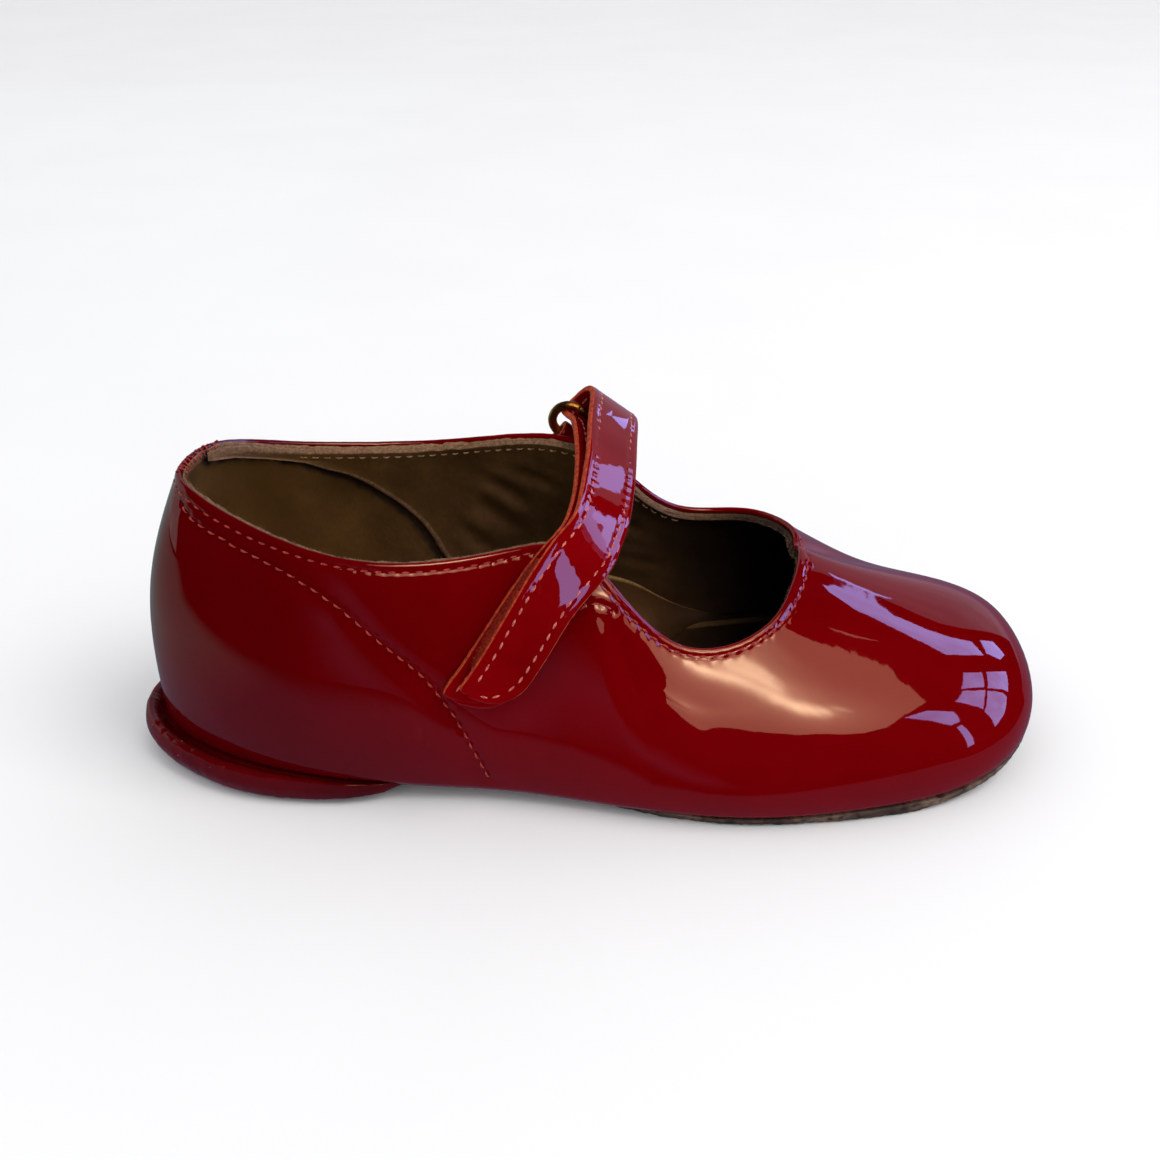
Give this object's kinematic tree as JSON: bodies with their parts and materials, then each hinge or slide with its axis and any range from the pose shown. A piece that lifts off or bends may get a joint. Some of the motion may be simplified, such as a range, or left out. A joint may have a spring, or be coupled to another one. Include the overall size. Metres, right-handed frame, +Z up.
{
  "type": "child's strap shoe",
  "caption": "Low patent strap shoe for the right foot: rounded toe, open throat, strap folded back through an oval ring, thin sole and rolled wedge rim at the heel.",
  "frame": {"origin": "centre of the whole shoe's box in plan, on the floor that the sole stands on", "axes": "+X from heel to toe, +Y to the medial side, +Z up"},
  "size_m": [0.1588, 0.0644, 0.0576],
  "materials": {
    "upper_patent": "red patent, high gloss, olive brown leather lining",
    "sole_rubber": "matt pebbled crepe",
    "rim_patent": "red patent over a moulded wedge, gloss",
    "insole_leather": "matt olive brown",
    "strap_patent": "red patent, high gloss, raw orange edges, stitched",
    "tape": "matt hook and loop pile",
    "ring_brass": "antique, semi gloss",
    "tab_patent": "red patent, high gloss, box stitched"
  },
  "bodies": {
    "root": {"upper": "upper_patent", "outsole": "sole_rubber", "heel_wedge": "rim_patent", "insole": "insole_leather", "strap": "strap_patent", "hook_loop_tape": "tape", "ring": "ring_brass", "ring_tab": "tab_patent"}
  },
  "joints": []
}
